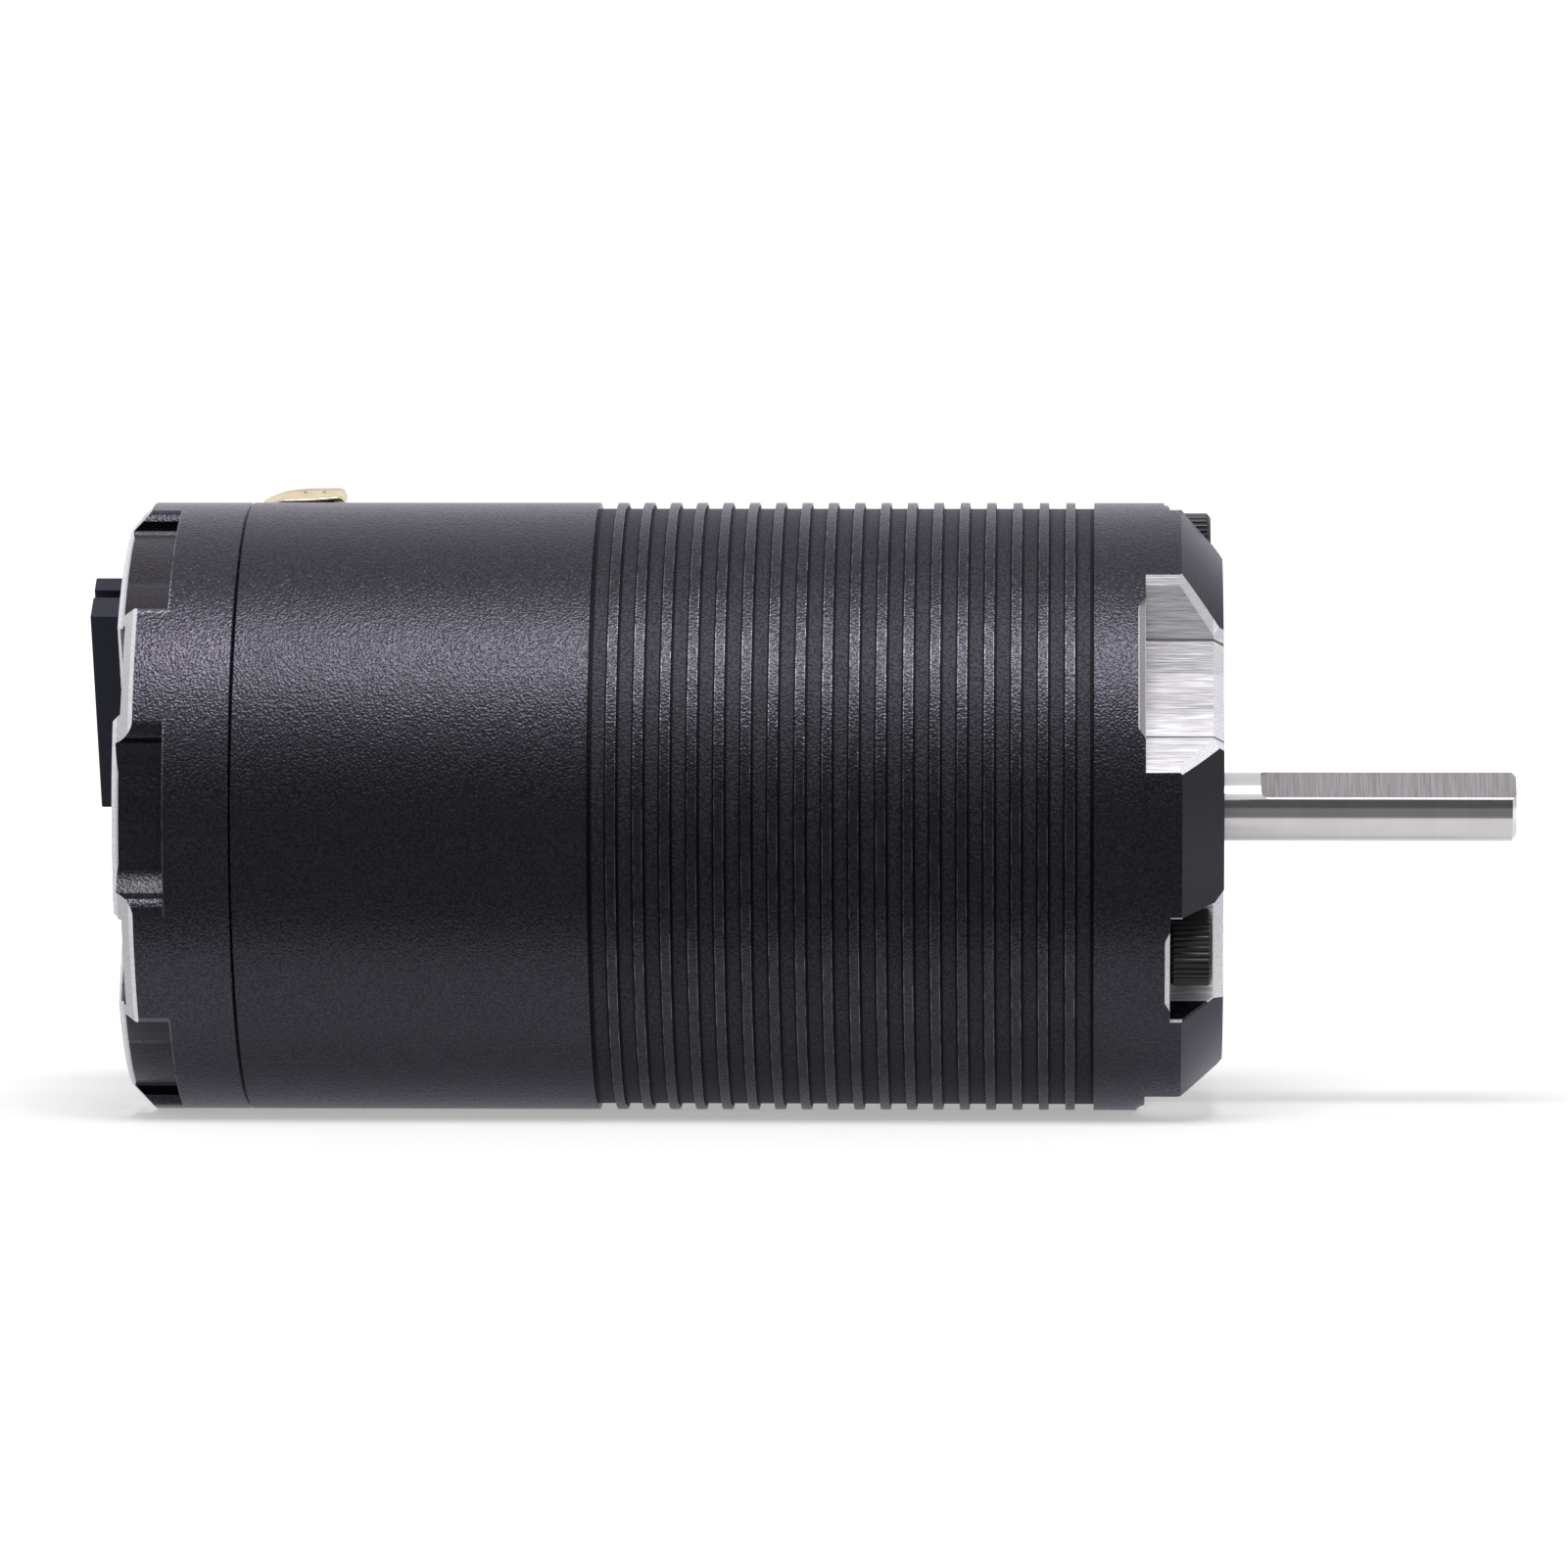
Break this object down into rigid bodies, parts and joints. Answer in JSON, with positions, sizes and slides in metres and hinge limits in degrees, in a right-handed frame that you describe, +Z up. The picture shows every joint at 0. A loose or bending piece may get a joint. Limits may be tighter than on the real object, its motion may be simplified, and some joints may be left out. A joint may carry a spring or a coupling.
{
  "type": "brushless dc motor",
  "caption": "Sensored inner-rotor brushless motor with a ribbed can, D-flat output shaft, solder tabs and a rear sensor socket.",
  "frame": {"origin": "centre of the front mounting face, on the shaft's axis", "axes": "+X along the shaft, out of the motor; +Z up; the sensor socket and the solder tabs lie on the +Y side"},
  "size_m": [0.1042, 0.0456, 0.0452],
  "materials": {
    "black_aluminium": "black anodised, fine sandy texture, machined edges bare",
    "black_screw": "black oxide steel, knurled heads",
    "ground_steel": "ground and polished",
    "bearing_steel": "polished",
    "lamination": "stacked laminations",
    "copper_winding": "enamelled copper wire",
    "insulator_plastic": "moulded",
    "black_plastic": "moulded, satin",
    "circuit_board": "solder mask",
    "gold_plate": "gold plated",
    "magnet": "nickel plated",
    "sleeve": "wound fibre and resin",
    "brass": "turned",
    "cage_brass": "pressed"
  },
  "bodies": {
    "housing": {"can": "black_aluminium", "rear_end_bell": "black_aluminium", "through_screws": "black_screw", "stator_core": "lamination", "front_insulator": "insulator_plastic", "rear_insulator": "insulator_plastic", "winding_phase_a": "copper_winding", "winding_phase_b": "copper_winding", "winding_phase_c": "copper_winding", "front_bearing_outer_race": "bearing_steel", "front_bearing_shields": "bearing_steel", "rear_bearing_outer_race": "bearing_steel", "rear_bearing_shields": "bearing_steel", "disc_spring": "bearing_steel", "sensor_board": "circuit_board", "hall_sensors": "black_plastic", "board_screws": "ground_steel", "sensor_socket": "black_plastic", "sensor_contacts": "gold_plate", "solder_tab_a": "gold_plate", "solder_tab_b": "gold_plate", "solder_tab_c": "gold_plate", "tab_insulators": "black_plastic"},
    "rotor": {"shaft": "ground_steel", "rotor_core": "lamination", "rotor_magnets": "magnet", "rotor_sleeve": "sleeve", "front_balance_ring": "brass", "rear_balance_ring": "brass", "front_spacer": "ground_steel", "rear_spacer": "ground_steel", "front_bearing_inner_race": "bearing_steel", "rear_bearing_inner_race": "bearing_steel"},
    "front_ball_ring": {"front_bearing_balls": "bearing_steel", "front_bearing_cage": "cage_brass"},
    "rear_ball_ring": {"rear_bearing_balls": "bearing_steel", "rear_bearing_cage": "cage_brass"}
  },
  "joints": [
    {"name": "rotor_spin", "type": "hinge", "parent": "housing", "child": "rotor", "pos_m": [0, 0, 0], "axis": [1, 0, 0], "continuous": true},
    {"name": "front_ball_ring_spin", "type": "hinge", "parent": "housing", "child": "front_ball_ring", "pos_m": [-0.0055, 0, 0], "axis": [1, 0, 0], "continuous": true},
    {"name": "rear_ball_ring_spin", "type": "hinge", "parent": "housing", "child": "rear_ball_ring", "pos_m": [-0.0742, 0, 0], "axis": [1, 0, 0], "continuous": true}
  ],
  "couplings": [
    {"joint": "front_ball_ring_spin", "follows": "rotor_spin", "ratio": 0.3381},
    {"joint": "rear_ball_ring_spin", "follows": "rotor_spin", "ratio": 0.3667}
  ]
}
